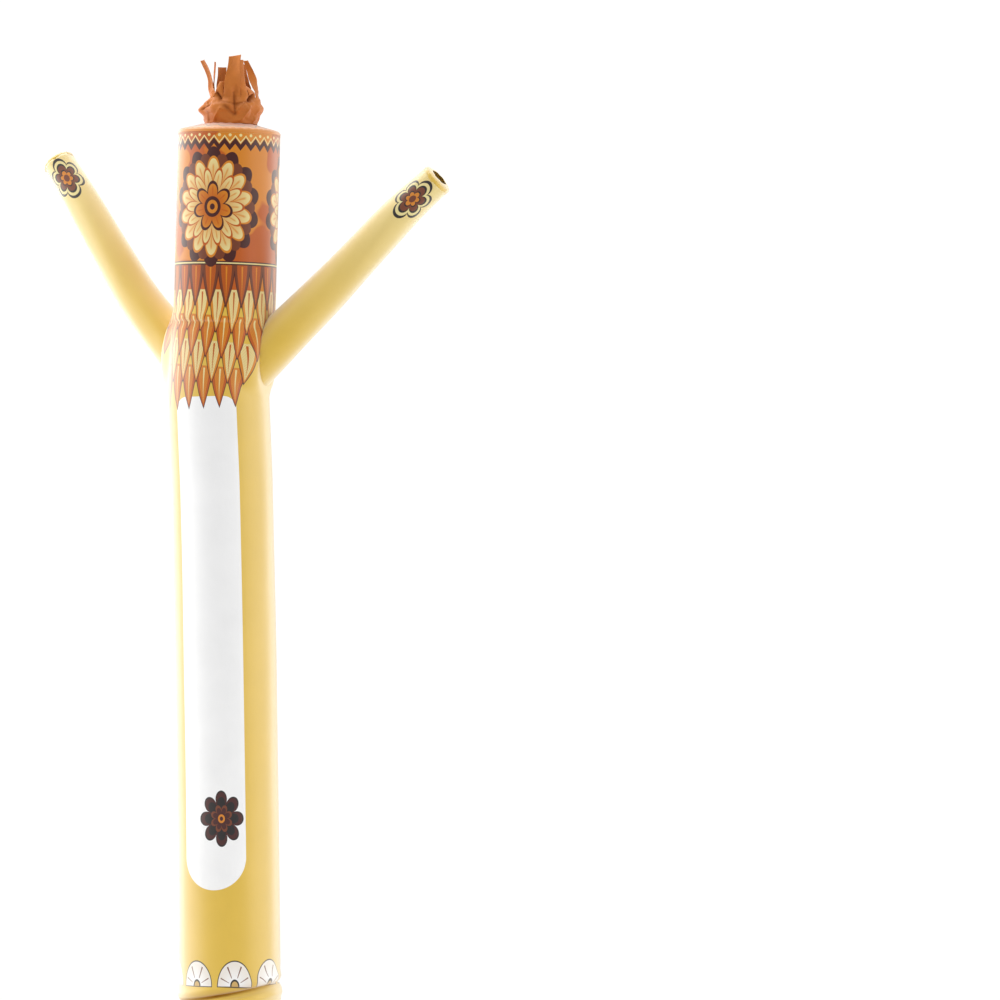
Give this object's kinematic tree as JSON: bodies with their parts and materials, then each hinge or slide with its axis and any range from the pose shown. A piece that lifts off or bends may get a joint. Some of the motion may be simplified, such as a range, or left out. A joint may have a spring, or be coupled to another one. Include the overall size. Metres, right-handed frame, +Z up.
{
  "type": "inflatable air dancer",
  "caption": "Tall upright tube of thin nylon with raised tapered arms, vented hands and crown, and a crumpled tube of cut strips for hair, held up by blown air.",
  "frame": {"origin": "middle of the bounding box, on the ground that the bottom hem stands on", "axes": "+Z up along the trunk; -Y is the dancer's front; +X is to the right of someone facing its front"},
  "size_m": [1.342, 0.43, 3.0401],
  "materials": {
    "trunk_cloth": "slightly glossy ripstop nylon",
    "crown_cloth": "slightly glossy ripstop nylon",
    "arm_cloth_left": "slightly glossy ripstop nylon",
    "arm_cloth_right": "slightly glossy ripstop nylon",
    "hand_cloth_left": "slightly glossy ripstop nylon",
    "hand_cloth_right": "slightly glossy ripstop nylon",
    "collar_cloth": "satin nylon",
    "strip_cloth": "satin nylon"
  },
  "bodies": {
    "root": {"trunk_tube": "trunk_cloth", "crown_panel": "crown_cloth", "arm_left": "arm_cloth_left", "arm_right": "arm_cloth_right", "hand_panel_left": "hand_cloth_left", "hand_panel_right": "hand_cloth_right", "hair_collar": "collar_cloth", "hair_strips": "strip_cloth"}
  },
  "joints": []
}
